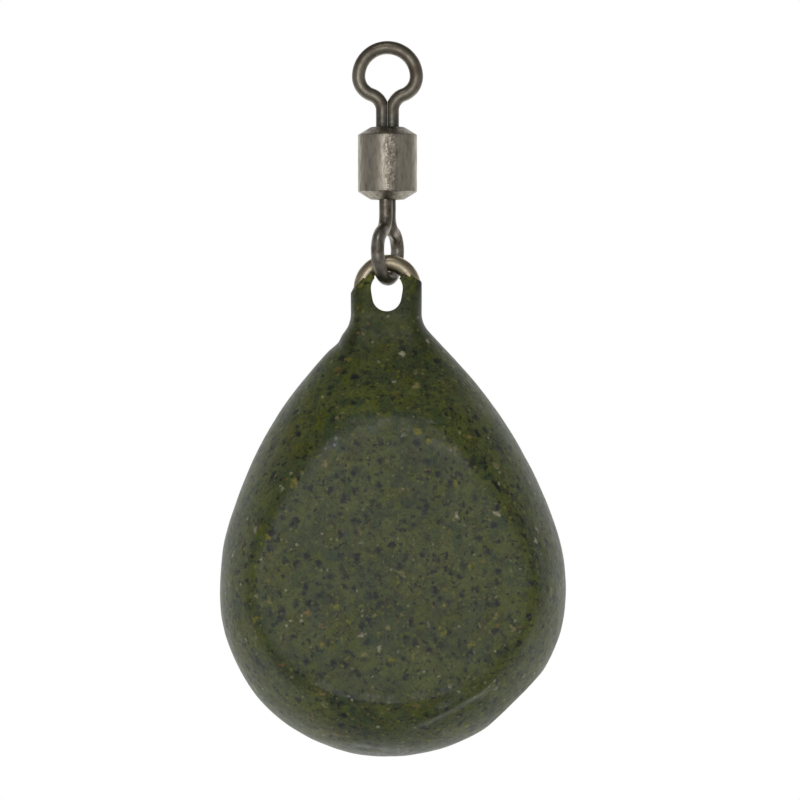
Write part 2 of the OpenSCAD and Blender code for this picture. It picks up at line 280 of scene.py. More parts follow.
def clouds(tree, place, scale, detail, seed=None, **more):
    """Soft noise round 0.5. With a seed, it is one of many like it."""
    sockets = {"Vector": place, "Scale": scale, "Detail": detail, **more}
    if seed is None:
        return add(tree, "ShaderNodeTexNoise", sockets).outputs[0]
    return add(tree, "ShaderNodeTexNoise", {"W": seed, **sockets}, noise_dimensions="4D").outputs[0]


print("a group starts with its named inputs")


# %% The tree that sweeps wire
def wire_tree():
    """Sweeps a circle along a line and pushes its surface in and out a little."""
    tree, given, result = new_group(
        "bent wire", "GeometryNodeTree",
        {"Geometry": "Geometry", "Radius": 0.5 * MM, "Sides": 32, "Dent depth": 0.01 * MM,
         "Dent size": 0.8 * MM, "Seed": 1.0, "Material": "Material"}, {"Geometry": "Geometry"})
    line = add(tree, "GeometryNodeMeshToCurve", {"Mesh": given["Geometry"]})
    ring = add(tree, "GeometryNodeCurvePrimitiveCircle",
               {"Resolution": given["Sides"], "Radius": given["Radius"]})
    tube = add(tree, "GeometryNodeCurveToMesh",
               {"Curve": line.outputs[0], "Profile Curve": ring.outputs[0], "Fill Caps": True})
    where = add(tree, "GeometryNodeInputPosition").outputs[0]
    scale = math_node(tree, "DIVIDE", 1.0, given["Dent size"])
    bumps = clouds(tree, where, scale, 2.0, seed=given["Seed"])
    depth = times(tree, math_node(tree, "SUBTRACT", bumps, 0.5), given["Dent depth"])
    normal = add(tree, "GeometryNodeInputNormal").outputs[0]
    out = add(tree, "ShaderNodeVectorMath", {0: normal, "Scale": depth}, operation="SCALE")
    dented = add(tree, "GeometryNodeSetPosition", {"Geometry": tube.outputs[0], "Offset": out.outputs[0]})
    plain = add(tree, "GeometryNodeRealizeInstances", {0: dented.outputs[0]})
    done = add(tree, "GeometryNodeSetMaterial",
               {"Geometry": plain.outputs[0], "Material": given["Material"]})
    tree.links.new(done.outputs[0], result["Geometry"])
    return tree


BENT_WIRE = wire_tree()
print("nodes that sweep the wire:", len(BENT_WIRE.nodes))


# %% Run a tree and keep the result
def baked(obj, modifier):
    """The object's mesh with the modifier's work in it. The modifier is taken off."""
    bpy.context.view_layer.update()
    seen = obj.evaluated_get(bpy.context.evaluated_depsgraph_get())
    mesh = bpy.data.meshes.new_from_object(seen)
    obj.modifiers.remove(modifier)
    return mesh


def run_tree(obj, tree, values):
    """Runs a geometry tree on an object with named inputs, and gives back a plain mesh."""
    modifier = obj.modifiers.new("made", "NODES")
    modifier.node_group = tree
    for item in tree.interface.items_tree:
        if item.item_type == "SOCKET" and item.in_out == "INPUT" and item.name in values:
            modifier[item.identifier] = values[item.name]
    return baked(obj, modifier)


print("trees can be run")


# %% Wire along a path
def mesh_object(name, points, edges, faces):
    """An object of points in mm that are joined by edges or faces."""
    mesh = bpy.data.meshes.new(name)
    mesh.from_pydata([(x * MM, y * MM, z * MM) for x, y, z in points], edges, faces)
    return new_object(name, mesh)


def swept_wire(name, path, radius, material, dent=0.012, seed=1.0, sides=36):
    """Round wire along a path in the upright plane, in mm, about the path's own middle."""
    steps = [(i, i + 1) for i in range(len(path) - 1)]
    carrier = mesh_object(name, [(x, 0, z) for x, z in path], steps, [])
    line = carrier.data
    carrier.data = run_tree(carrier, BENT_WIRE, {
        "Radius": radius * MM, "Sides": sides, "Dent depth": dent * MM, "Dent size": 0.9 * MM,
        "Seed": seed, "Material": material})
    bpy.data.meshes.remove(line)
    carrier.data.name = name
    return carrier


print("wire can be swept along a path")


# %% Close a mesh up
def settle_faces(shape):
    """Shades all faces smooth and turns them outwards: an inside-out shape has a volume below nought."""
    for face in shape.faces:
        face.smooth = True
    bmesh.ops.recalc_face_normals(shape, faces=shape.faces)
    if shape.calc_volume(signed=True) < 0:
        bmesh.ops.reverse_faces(shape, faces=shape.faces)


def close_up(obj):
    """Merges doubles and settles the faces, and gives back their number."""
    shape = bmesh.new()
    shape.from_mesh(obj.data)
    bmesh.ops.remove_doubles(shape, verts=shape.verts, dist=1e-7)
    settle_faces(shape)
    shape.to_mesh(obj.data)
    count = len(shape.faces)
    shape.free()
    return count


print("meshes can be closed up")

# %% [markdown]
# ## Dulled metal
# The swivel is plated wire and tube that has lost its shine: a warm grey with brownish stains,
# rubbed paler where it is handled and darker in the pits. One shader group gives all the metals
# their stains, rubbed spots and fine grain, each with its own scale. Painting each piece by hand
# would also work, but a group keeps them alike, as pieces from one bath of plating are.


# %% The stain group
def stain_group():
    """The colour, roughness and height of stained metal."""
    tree, given, result = new_group(
        "metal stains", "ShaderNodeTree",
        {"Vector": "Vector", "Stain size": 0.6 * MM, "Grain size": 0.06 * MM, "Clean": (0.4, 0.38, 0.34, 1),
         "Stained": (0.2, 0.17, 0.13, 1), "Rubbed": (0.7, 0.66, 0.58, 1), "Rubbed share": 0.3},
        {"Color": "Color", "Roughness": "Float", "Height": "Float"})
    stain_scale = math_node(tree, "DIVIDE", 1.0, given["Stain size"])
    grain_scale = math_node(tree, "DIVIDE", 1.0, given["Grain size"])
    big = clouds(tree, given["Vector"], stain_scale, 4.0, Roughness=0.62, Distortion=0.4)
    fine = clouds(tree, given["Vector"], grain_scale, 3.0, Roughness=0.7)
    stained = climb(tree, big, 0.42, 0.66)
    colour = mix_colour(tree, stained, given["Clean"], given["Stained"])
    spots = plus(tree, times(tree, fine, 0.6), times(tree, big, -0.5))
    limit = math_node(tree, "SUBTRACT", 0.32, times(tree, given["Rubbed share"], 0.35))
    rubbed = climb(tree, spots, limit, plus(tree, limit, 0.08))
    colour = mix_colour(tree, times(tree, rubbed, 0.55), colour, given["Rubbed"])
    rough = plus(tree, plus(tree, 0.3, times(tree, stained, 0.14)), times(tree, fine, 0.1))
    tree.links.new(colour, result["Color"])
    tree.links.new(rough, result["Roughness"])
    tree.links.new(plus(tree, times(tree, fine, 0.5), big), result["Height"])
    return tree


METAL_STAINS = stain_group()
print("nodes that stain the metal:", len(METAL_STAINS.nodes))

# %% [markdown]
# ## Wear, painted shade and dirt
# The barrel has lost its plating in a dull stripe on the front, where bright dots are left. The ends of the
# pieces, where they meet, are darkened with painted shade, and the top of the upper eye has brown dirt.
# Both have a place on the piece and not only a pattern, so they are laid over the stains by position,
# with noise to make their edges ragged. Colours are written as they look on a screen, and turned into
# the linear ones that a shader takes.


# %% Use a group, and take a colour from the screen
def grouped(tree, group, place, values):
    """A copy of a group at work in a material, with its inputs filled by name."""
    made = add(tree, "ShaderNodeGroup", node_tree=group)
    tree.links.new(place, made.inputs["Vector"])
    for label, value in values.items():
        made.inputs[label].default_value = value
    return made.outputs


def srgb(red, green, blue):
    """A colour as seen on a screen, from 0 to 255, as the linear colour that a shader takes."""
    parts = [v / 255 for v in (red, green, blue)]
    return [v / 12.92 if v <= 0.04045 else ((v + 0.055) / 1.055) ** 2.4 for v in parts] + [1.0]


# Colours of the darkened ends: the dark grey is painted shade, and the brown is painted shade except on top
# of the upper eye, where it is dirt
DARK_SHADE, BROWN_SHADE_AND_DIRT = srgb(74, 74, 72), srgb(84, 74, 58)
print("grime is", [round(v, 3) for v in DARK_SHADE[:3]], "and", [round(v, 3) for v in BROWN_SHADE_AND_DIRT[:3]])


# %% A worn stripe
def worn_stripe(tree, place, drawn, colour, rubbed, worn):
    """A stripe on the front where the plating has gone, with bright dots left in it.
    It is given as its middle, its half width and its colour."""
    middle, half, bare = worn
    spot = add(tree, "ShaderNodeSeparateXYZ", {0: place}).outputs
    across = math_node(tree, "ABSOLUTE", math_node(tree, "SUBTRACT", spot["X"], middle * MM))
    in_front = math_node(tree, "LESS_THAN", spot["Y"], 0.0)
    inside = times(tree, climb(tree, across, half * MM, half * 0.6 * MM), in_front)
    ragged = climb(tree, clouds(tree, drawn, 4200.0, 5.0, Roughness=0.7), 0.38, 0.66)
    dots = climb(tree, clouds(tree, place, 6500.0, 2.0), 0.56, 0.64)
    colour = mix_colour(tree, times(tree, inside, ragged), colour, bare)
    return mix_colour(tree, times(tree, inside, dots), colour, rubbed)


print("a stripe is laid by its middle, half width and colour")


# %% Grime
def shade_and_dirt(tree, place, colour, ends):
    """Darkens the ends of a piece: painted shade where it meets another piece, and brown dirt at the top of
    the upper eye. Each end is the height where it starts, the height where it is full, its share and its
    colour."""
    height = add(tree, "ShaderNodeSeparateXYZ", {0: place}).outputs["Z"]
    ragged = clouds(tree, place, 3400.0, 4.0)
    for start, full, most, end_tint in ends:
        # each end is mixed towards its colour: painted shade where pieces meet, dirt at the top of the
        # upper eye
        end = climb(tree, height, start * MM, full * MM, high=most * 1.6)
        colour = mix_colour(tree, times(tree, end, ragged, clamp=True), colour, end_tint)
    return colour


print("grime is laid by its height")


# %% A dulled metal
def metal(name, clean, stained, rubbed, share, stain_size=0.6, grain_size=0.06, bump=0.004,
          stretch=(1, 1, 1), worn=None, shaded_and_dirty_ends=()):
    """A dulled metal. Sizes are in mm, and stretch draws the pattern out along an axis."""
    made = bpy.data.materials.new(name)
    tree = emptied(made)
    place = add(tree, "ShaderNodeTexCoord").outputs["Object"]
    drawn = add(tree, "ShaderNodeMapping", {"Vector": place, "Scale": stretch}).outputs[0]
    stains = grouped(tree, METAL_STAINS, drawn, {
        "Stain size": stain_size * MM, "Grain size": grain_size * MM, "Clean": clean, "Stained": stained,
        "Rubbed": rubbed, "Rubbed share": share})
    relief = add(tree, "ShaderNodeBump",
                 {"Height": stains["Height"], "Strength": 0.6, "Distance": bump * MM})
    colour = stains["Color"]
    if worn:
        colour = worn_stripe(tree, place, drawn, colour, rubbed, worn)
    colour = shade_and_dirt(tree, place, colour, shaded_and_dirty_ends)
    body = add(tree, "ShaderNodeBsdfPrincipled", {"Base Color": colour, "Metallic": 1.0,
                                                  "Roughness": stains["Roughness"],
                                                  "Normal": relief.outputs[0]})
    add(tree, "ShaderNodeOutputMaterial", {"Surface": body.outputs[0]})
    return made


print("a metal can be made with a worn stripe and with grime")

# %% The metals of this part
# The darkened ends below are painted shade where each piece meets the barrel, and brown dirt at the top of
# the upper eye
EYE_METAL = metal("dulled_wire", srgb(147, 141, 127), srgb(114, 104, 90), srgb(176, 167, 150), 0.28,
                  stain_size=1.3, grain_size=0.09,
                  shaded_and_dirty_ends=((-1.9, -3.4, 0.9, DARK_SHADE), (1.6, 2.5, 0.5, BROWN_SHADE_AND_DIRT)))
LOWER_METAL = metal("scuffed_wire", srgb(162, 156, 146), srgb(114, 106, 94), srgb(200, 192, 174), 0.42,
                    stain_size=0.8, grain_size=0.08, shaded_and_dirty_ends=((-11.2, -9.4, 0.7, BROWN_SHADE_AND_DIRT),))
BARREL_METAL = metal("worn_barrel", srgb(181, 174, 159), srgb(153, 145, 131), srgb(202, 194, 178), 0.25,
                     stain_size=0.4, stretch=(1.5, 1.5, 0.45), worn=(0.28, 0.6, srgb(112, 101, 92)),
                     shaded_and_dirty_ends=((-4.3, -3.7, 0.8, BROWN_SHADE_AND_DIRT), (-8.3, -8.8, 0.5, BROWN_SHADE_AND_DIRT)))
LOOP_METAL = metal("warm_wire", srgb(198, 186, 160), srgb(160, 146, 118), srgb(214, 202, 176), 0.25,
                   stain_size=1.4, grain_size=0.1)
BEAD_METAL = metal("crimped_bead", srgb(176, 152, 104), srgb(130, 106, 66), srgb(210, 190, 140), 0.3)
LEAD_METAL = metal("cast_lead", srgb(126, 128, 132), srgb(84, 86, 92), srgb(160, 162, 166), 0.2,
                   stain_size=2.5, grain_size=0.3, bump=0.03)
print("metals:", [m.name for m in bpy.data.materials if m is not floor_paint])

# %% [markdown]
# ## The swivel's eyes
# Each eye is one length of wire. It runs up a stem, turns out, goes round, and comes back down beside
# itself. The legs are pressed together, so they are flat where they touch. The path is drawn once
# and used for both eyes, and the lower one is turned over and turned about the axis.

# %% The eye's path
EYE_R, CORNER_R, NECK_R, WIRE_R = 2.08, 1.4, 1.2, 0.48
LEG_X, STEM_END = 0.35, -5.19
CORNER_X, NECK_X = EYE_R - CORNER_R, LEG_X + NECK_R
NECK_TURN = math.degrees(math.asin((NECK_X - CORNER_X) / (CORNER_R + NECK_R)))
NECK_Z = -(CORNER_R + NECK_R) * math.cos(math.radians(NECK_TURN))
eye_half = (straight((LEG_X, STEM_END), (LEG_X, NECK_Z))
            + bend(NECK_X, NECK_Z, NECK_R, 180, 90 + NECK_TURN)
            + bend(CORNER_X, 0, CORNER_R, NECK_TURN - 90, 0)
            + bend(0, 0, EYE_R, 0, 90))
eye_path = both_sides(eye_half)
print("points along an eye:", len(eye_path))


# %% Both eyes
def press_legs(obj, gap=0.004):
    """Flattens the two legs where they meet. The first half of the wire is its right side."""
    count = len(obj.data.vertices)
    for i, v in enumerate(obj.data.vertices):
        side = 1 if i < count / 2 else -1
        if v.co.z < -1.0 * MM and v.co.x * side < gap * MM:
            v.co.x = side * gap * MM


def make_eye(name, middle_z, finish, seed, turn=0.0, over=False):
    """An eye about its middle at a height in mm, turned over if asked, and turned about the axis."""
    made = swept_wire(name, eye_path, WIRE_R, finish, seed=seed)
    press_legs(made)
    close_up(made)
    flip = Matrix.Rotation(math.pi if over else 0, 4, "X")
    made.data.transform(Matrix.Translation((0, 0, middle_z * MM)) @ Matrix.Rotation(turn, 4, "Z") @ flip)
    return made


upper_eye = make_eye("upper_eye_wire", 0.0, EYE_METAL, 3.0)
lower_eye = make_eye("lower_eye_wire", -12.5, LOWER_METAL, 7.0, turn=math.radians(70), over=True)
for piece, node, body in ((upper_eye, "upper_eye", "top_eye"), (lower_eye, "lower_eye", "bottom_eye")):
    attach(piece, body)
    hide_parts(node)
    print(piece.name, "has", len(piece.data.polygons), "faces")

# %% [markdown]
# ## The barrel
# The barrel is turned from tube and its two ends are closed in round the stems. A lathe shape is a
# profile spun about the axis. The profile here has the true wall, with its sharp corners eased by
# small steps, and the faces are dense enough to take a few shallow dents.

# %% Barrel profile
BARREL_R, BARREL_TOP, BARREL_L = 2.125, -3.64, 5.22
END_WALL, BEVEL_W, BEVEL_H, STEM_HOLE_R, INNER_R = 0.5, 0.93, 0.56, 0.88, 1.575
corners = [(STEM_HOLE_R, 0), (BARREL_R - BEVEL_W, 0), (BARREL_R, BEVEL_H),
           (BARREL_R, BARREL_L - BEVEL_H), (BARREL_R - BEVEL_W, BARREL_L), (STEM_HOLE_R, BARREL_L),
           (STEM_HOLE_R, BARREL_L - END_WALL), (INNER_R, BARREL_L - END_WALL),
           (INNER_R, END_WALL), (STEM_HOLE_R, END_WALL)]


def rounded(points, cut=0.07, step=0.16):
    """A closed outline with each corner cut by a small arc, and even steps between them."""
    result = []
    count = len(points)
    for i, corner in enumerate(points):
        before, after = np.array(points[i - 1]), np.array(points[(i + 1) % count])
        corner = np.array(corner)
        a = corner + (before - corner) / np.linalg.norm(before - corner) * cut
        b = corner + (after - corner) / np.linalg.norm(after - corner) * cut
        for t in (0, 0.25, 0.5, 0.75, 1):
            result.append(tuple((1 - t) ** 2 * a + 2 * t * (1 - t) * corner + t * t * b))
        side_end = after + (corner - after) / np.linalg.norm(corner - after) * cut
        steps = max(1, round(np.linalg.norm(side_end - b) / step))
        for k in range(1, steps):
            result.append(tuple(b + (side_end - b) * k / steps))
    return result


profile = rounded(corners)
print("profile points:", len(profile))

# %% Spin the barrel
ROUND = 112
verts, faces = [], []
for j in range(ROUND):
    a = 2 * math.pi * j / ROUND
    for r, h in profile:
        p = Vector((r * math.cos(a), r * math.sin(a), h))
        dent = noise.noise(p * 0.9 + Vector((3, 1, 5))) * 0.012 + noise.noise(p * 3.1) * 0.004
        if r > STEM_HOLE_R + 0.1:
            p.x, p.y = p.x * (1 + dent / max(r, 1)), p.y * (1 + dent / max(r, 1))
        verts.append((p.x, p.y, p.z + BARREL_TOP - BARREL_L))
count = len(profile)
for j in range(ROUND):
    k = (j + 1) % ROUND
    for i in range(count):
        n = (i + 1) % count
        faces.append((j * count + i, k * count + i, k * count + n, j * count + n))
barrel = mesh_object("worn_barrel", verts, [], faces)
barrel.data.materials.append(BARREL_METAL)
close_up(barrel)
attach(barrel, "barrel")
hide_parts("swivel_barrel")
print("barrel faces:", len(faces))

# %% [markdown]
# ## Hidden pieces keep their solids
# The beads inside the barrel and the lead under the coating are right as they are.
# They only get their own metal: yellow brass that was never plated, and grey cast lead.

# %% Beads and lead
for node, finish in (("upper_bead", BEAD_METAL), ("lower_bead", BEAD_METAL), ("lead_core", LEAD_METAL)):
    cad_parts[node].data.materials.clear()
    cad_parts[node].data.materials.append(finish)
    print(node, "is", finish.name)

# %% [markdown]
# ## The cast-in loop
# The loop is thicker wire of a warmer colour. Its round top shows above the coating, and its
# two legs run down into the lead and turn out there, so that it can't be pulled out. It is swept along
# a path as the eyes are. The hole in the nose is rounder than its wire allows, so the two legs are
# bowed outwards a little beside the hole, where the coating hides them.

# %% Loop
LOOP_Z, LOOP_R, LOOP_WIRE_R, CLOSE = -15.25, 1.84, 0.59, 27.0
LOOP_LEG_X, LOOP_BEND_R, LOOP_LEG_L, FOOT_R, FOOT_L = 0.95, 0.9, 5.0, 1.0, 1.2
sine, cosine = math.sin(math.radians(CLOSE)), math.cos(math.radians(CLOSE))
start_x, start_z = LOOP_R * cosine, -LOOP_R * sine
run = (start_x - LOOP_LEG_X - LOOP_BEND_R * (1 - cosine)) / sine
run_z = start_z - run * cosine
bend_z = run_z - LOOP_BEND_R * sine
foot_z = bend_z - LOOP_LEG_L
foot_x = LOOP_LEG_X + FOOT_R
loop_half = (straight((foot_x + FOOT_L, foot_z - FOOT_R), (foot_x, foot_z - FOOT_R))
             + bend(foot_x, foot_z, FOOT_R, 270, 180)
             + straight((LOOP_LEG_X, foot_z), (LOOP_LEG_X, bend_z))
             + bend(LOOP_LEG_X + LOOP_BEND_R, bend_z, LOOP_BEND_R, 180, 180 - CLOSE)
             + straight((start_x - run * sine, run_z), (start_x, start_z))
             + bend(0, 0, LOOP_R, -CLOSE, 90))
loop = swept_wire("cast_in_wire", both_sides(loop_half), LOOP_WIRE_R, LOOP_METAL, dent=0.008, seed=11.0,
                  sides=48)
close_up(loop)
print("points along the loop:", len(both_sides(loop_half)))

# %% Bow the legs clear of the hole
BOW_Z, BOW_LONG, BOW_RIGHT, BOW_LEFT = -1.1, 0.6, 0.12, -0.2
for v in loop.data.vertices:
    bow = math.exp(-((v.co.z / MM - BOW_Z) / BOW_LONG) ** 2)
    v.co.x += (BOW_RIGHT if v.co.x > 0 else BOW_LEFT) * bow * MM
    v.co.z += LOOP_Z * MM
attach(loop, "weight")
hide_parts("cast_in_loop")
print("loop faces:", len(loop.data.polygons))

# %% [markdown]
# ## The outline of the lead
# The outline is a chain of arcs: a round base, a belly, a long flank, a small hollow and a flat nose.
# It could be sculpted along the photograph's edge, but a mould maker would draw it in arcs as well, and
# arcs stay smooth however many rings are laid on them. Each height has one half width.

# %% Outline of the lead, in mm from the middle of the loop
HALF_W, WIDEST_Z, BASE_H = 12.45, -21.75, 11.95
BOTTOM_Z = WIDEST_Z - BASE_H
BELLY_R, BELLY_A, FLANK_R, FLANK_A = 15.5, math.radians(16), 30.0, math.radians(41.5)
FILLET_R, NOSE_W = 2.0, 5.12
BELLY_X = HALF_W - BELLY_R
FLANK_X = BELLY_X + (BELLY_R - FLANK_R) * math.cos(BELLY_A)
FLANK_Z = WIDEST_Z + (BELLY_R - FLANK_R) * math.sin(BELLY_A)
FLANK_REACH = FLANK_X * math.cos(FLANK_A) + FLANK_Z * math.sin(FLANK_A) + FLANK_R
FILLET_X = NOSE_W / 2 + FILLET_R
FILLET_Z = (FLANK_REACH + FILLET_R - FILLET_X * math.cos(FLANK_A)) / math.sin(FLANK_A)


def half_width(z):
    """Half the width at a height, arc by arc from the base up."""
    if z < WIDEST_Z:
        return HALF_W * math.sqrt(max(0, 1 - ((WIDEST_Z - z) / BASE_H) ** 2))
    if z < WIDEST_Z + BELLY_R * math.sin(BELLY_A):
        return BELLY_X + math.sqrt(BELLY_R ** 2 - (z - WIDEST_Z) ** 2)
    if z < FLANK_Z + FLANK_R * math.sin(FLANK_A):
        return FLANK_X + math.sqrt(FLANK_R ** 2 - (z - FLANK_Z) ** 2)
    if z < FILLET_Z - FILLET_R * math.sin(FLANK_A):
        return (FLANK_REACH - z * math.sin(FLANK_A)) / math.cos(FLANK_A)
    if z < FILLET_Z:
        return FILLET_X - math.sqrt(FILLET_R ** 2 - (z - FILLET_Z) ** 2)
    return NOSE_W / 2


print("width in mm at the widest line:", 2 * half_width(WIDEST_Z), "nose starts at", round(FILLET_Z, 2))

# %% [markdown]
# ## The faces of the lead
# Each face is level across its panel and then turns over to the side. Above the panel the lead gets
# thinner, and only a narrow crest stays level, which widens again into the flat nose. The whole casting
# isn't quite even, so its middle lies a little to the right at the belly.


# %% Shares and soft corners
def share(z, low, high):
    """How far z has come from low to high, from 0 to 1."""
    return max(0.0, min(1.0, (z - low) / (high - low)))


def ease(u):
    """The same share with a soft start and a soft end."""
    return u * u * (3 - 2 * u)


def soft_lower(first, second, reach):
    """The lower of two heights, with a fillet where they cross."""
    overlap = max(0.0, reach - abs(first - second)) / reach
    return min(first, second) - overlap * overlap * reach / 4


print("halfway through a soft start and end:", ease(0.5), "and a tenth in:", round(ease(0.1), 3))

# %% Half thickness at a height
HALF_T, NOSE_T, TIP_T, TIP_Z = 7.05, 3.0, 1.5, 0.8
PANEL_W, PANEL_TOP, PANEL_WIDE, PANEL_BOTTOM = 19.7, -9.6, -21.1, -29.5
NECK_START, TOP_SOFT, TOP_LIFT = 0.9, 0.3, 0.12


def base_round(z):
    """The round of the base as seen from the side, from 1 at the panel's widest line to 0."""
    return math.sqrt(max(0, 1 - ((PANEL_WIDE - z) / (PANEL_WIDE - BOTTOM_Z)) ** 2))


def half_thick(z):
    """Half the thickness on the middle line."""
    if z < PANEL_BOTTOM:
        return HALF_T * base_round(z) / base_round(PANEL_BOTTOM)
    if z < PANEL_TOP - 1:
        return HALF_T
    if z < FILLET_Z:
        u = (z - PANEL_TOP) / (FILLET_Z - PANEL_TOP)
        thinned = u * (NECK_START + u * (3 - 2 * NECK_START + u * (NECK_START - 2)))
        neck = HALF_T - (HALF_T - NOSE_T / 2) * thinned + TOP_LIFT * (1 - u) ** 2
        return soft_lower(HALF_T, neck, TOP_SOFT)
    return NOSE_T / 2 - (NOSE_T - TIP_T) / 2 * share(z, FILLET_Z, TIP_Z)


print("half thickness in mm at the panel and at the nose:", half_thick(-20), half_thick(FILLET_Z))

# %% Level part and middle at a height
CREST_LEVEL, NOSE_LEVEL, BELLY_SHIFT, NOSE_SHIFT = 0.1, 0.72, 0.38, 0.1


def level_half(z):
    """Half the width that is level, on the panel, the crest or the nose."""
    if z < PANEL_WIDE:
        panel = PANEL_W / 2 * math.sqrt(max(0, 1 - share(z, PANEL_WIDE, PANEL_BOTTOM) ** 2))
    else:
        panel = PANEL_W / 2 * (1 - share(z, PANEL_WIDE, PANEL_TOP) ** 1.5) ** 0.55
    level = CREST_LEVEL + (NOSE_LEVEL - CREST_LEVEL) * ease(share(z, PANEL_TOP, FILLET_Z))
    return max(panel, level * half_width(z))


def shift(z):
    """How far the middle of the lead lies to the right."""
    if z < WIDEST_Z:
        return BELLY_SHIFT * (1 - ((WIDEST_Z - z) / BASE_H) ** 2)
    belly = BELLY_SHIFT * (1 - ease(share(z, WIDEST_Z, FILLET_Z)))
    return belly - NOSE_SHIFT * ease(share(z, -5, FILLET_Z))


print("widest level part in mm:", 2 * level_half(PANEL_WIDE), "shifted by", shift(WIDEST_Z))

# %% [markdown]
# ## Rings of the coating
# Each face is a pillow that is cut off level by its panel. A knife would leave a hard edge there,
# but a casting has a soft one, so the lower of the two heights is taken with a small fillet between
# them. One ring is such a quarter section, mirrored to all four. Its points crowd together at the panel's
# edge, and the rings crowd together in the nose, where the coating's edge needs fine steps.

# %% Build the rings
LEVEL_N, ROUND_N = 18, 32
QUARTER = LEVEL_N + ROUND_N
EDGE_SOFT, NOSE_SOFT, FULLER = 0.95, 0.25, 0.2


def quarter(z):
    """The points (x, y) of a quarter of a ring, from the middle of the face to the side."""
    w, t, p = half_width(z), half_thick(z), level_half(z)
    start = math.asin(p / w)
    pillow = t / math.cos(start)
    reach = min(EDGE_SOFT + (NOSE_SOFT - EDGE_SOFT) * ease(share(z, PANEL_TOP, FILLET_Z)), 0.4 * t)
    fuller = FULLER * max(0.0, reach - NOSE_SOFT) / (EDGE_SOFT - NOSE_SOFT)
    xs = [p * (1 - (1 - i / LEVEL_N) ** 1.5) for i in range(LEVEL_N)]
    xs += [w * math.sin(start + (math.pi / 2 - start) * (i / ROUND_N) ** 1.2) for i in range(ROUND_N)]
    rise = [pillow * math.sqrt(1 - (x / w) ** 2) + fuller * (1 - share(x, p, w)) ** 2 for x in xs]
    return [(x, soft_lower(t, y, reach)) for x, y in zip(xs, rise)] + [(w, 0.0)]


def ring(z):
    """The quarter and its three mirror images, in order round the lead."""
    q = quarter(z)
    around = (q + [(x, -y) for x, y in q[-2::-1]] + [(-x, -y) for x, y in q[1:]]
              + [(-x, y) for x, y in q[-2:0:-1]])
    return [(x, y, z) for x, y in around]


levels = [BOTTOM_Z + 2.0 * (1 - math.cos(math.pi / 2 * i / 22)) for i in range(1, 22)]
# each pair is a height and the greatest step up to it
for top, step in ((-28.3, 0.075), (-20, 0.16), (-10.6, 0.2), (-8.8, 0.08), (-4.6, 0.2), (TIP_Z, 0.085)):
    first = levels[-1]
    count = math.ceil((top - first) / step)
    levels += [first + (top - first) * i / count for i in range(1, count + 1)]
rings = [ring(z) for z in levels]
print("rings:", len(rings), "points:", sum(len(r) for r in rings))

# %% [markdown]
# ## The ragged edge on the wire
# The coating was sprayed and baked with the loop in place, so it ends in an uneven edge on the wire.
# The top rings are stretched to that edge: its height is a short list of points from left to right,
# roughened with noise. The upper corners of the nose are bevelled, the left one more than the right.

# %% The coating's edge
EDGE_X = [-2.6, -2.2, -1.94, -1.76, -1.48, -1.39, -1.21, -1.0, -0.5,
          0, 0.5, 1.0, 1.13, 1.5, 1.91, 2.12, 2.4]
EDGE_Z = [0.6, 0.79, 0.67, 0.89, 1.17, 1.26, 0.89, 0.66, 0.3,
          0.1, 0.3, 0.7, 0.84, 0.97, 0.81, 0.99, 0.75]
# where each bevel starts and ends, and the share of the width that it takes off
LEFT_BEVEL, RIGHT_BEVEL = (-0.34, 0.81, 0.24), (0.42, 0.95, 0.14)


def edge_height(x, y):
    """The height at which the coating ends."""
    rough = (noise.noise(Vector((x * 3.1, y * 2.3, 4.2))) * 0.07
             + noise.noise(Vector((x * 9, y * 8, 1.7))) * 0.04)
    return float(np.interp(x, EDGE_X, EDGE_Z)) + rough


print("coating's edge in mm at the left, middle and right:",
      [round(edge_height(x, -0.7), 2) for x in (-1.4, 0, 2.1)])

# %% [markdown]
# ## An uneven casting
# The lead was poured, and then cut from its gate, so it isn't quite true. Its surface swells and
# sinks by a few hundredths of a millimetre. A flat at the lower right is where the gate was.
# A low ridge crosses the base beside it, and a shallow dip lies on the left shoulder.
# These could be painted as bumps, but the outline shows them too, so the points themselves are moved.

# %% Flat, ridge and dip
GATE, GATE_CUT, GATE_SOFT = math.radians(45), 0.34, 0.1
GATE_X, GATE_Z = math.cos(GATE), -math.sin(GATE)
GATE_SPAN = math.hypot(HALF_W * GATE_X, BASE_H * GATE_Z)
GATE_REACH = (GATE_SPAN + BELLY_SHIFT * (1 - (BASE_H * GATE_Z / GATE_SPAN) ** 2) * GATE_X
              + WIDEST_Z * GATE_Z - GATE_CUT)
RIDGE_FROM, RIDGE_TO = Vector((1.6, -31.24)), Vector((7.4, -28.07))
RIDGE_HIGH, RIDGE_WIDE = 0.24, 0.34
DIP, DIP_DEEP, DIP_WIDE = Vector((-3.8, -3.9)), 0.2, 0.6


def ridge_height(x, z):
    """The height of the low ridge at a place on the front. It fades at both ends."""
    run = RIDGE_TO - RIDGE_FROM
    along = (Vector((x, z)) - RIDGE_FROM).dot(run) / run.length_squared
    across = (Vector((x, z)) - RIDGE_FROM - run * along).length
    ends = ease(share(along, -0.1, 0.3)) * ease(share(along, 1.1, 0.7))
    return RIDGE_HIGH * math.exp(-(across / RIDGE_WIDE) ** 2) * ends


print("ridge in mm at its middle:", round(ridge_height(*((RIDGE_FROM + RIDGE_TO) / 2)), 2))


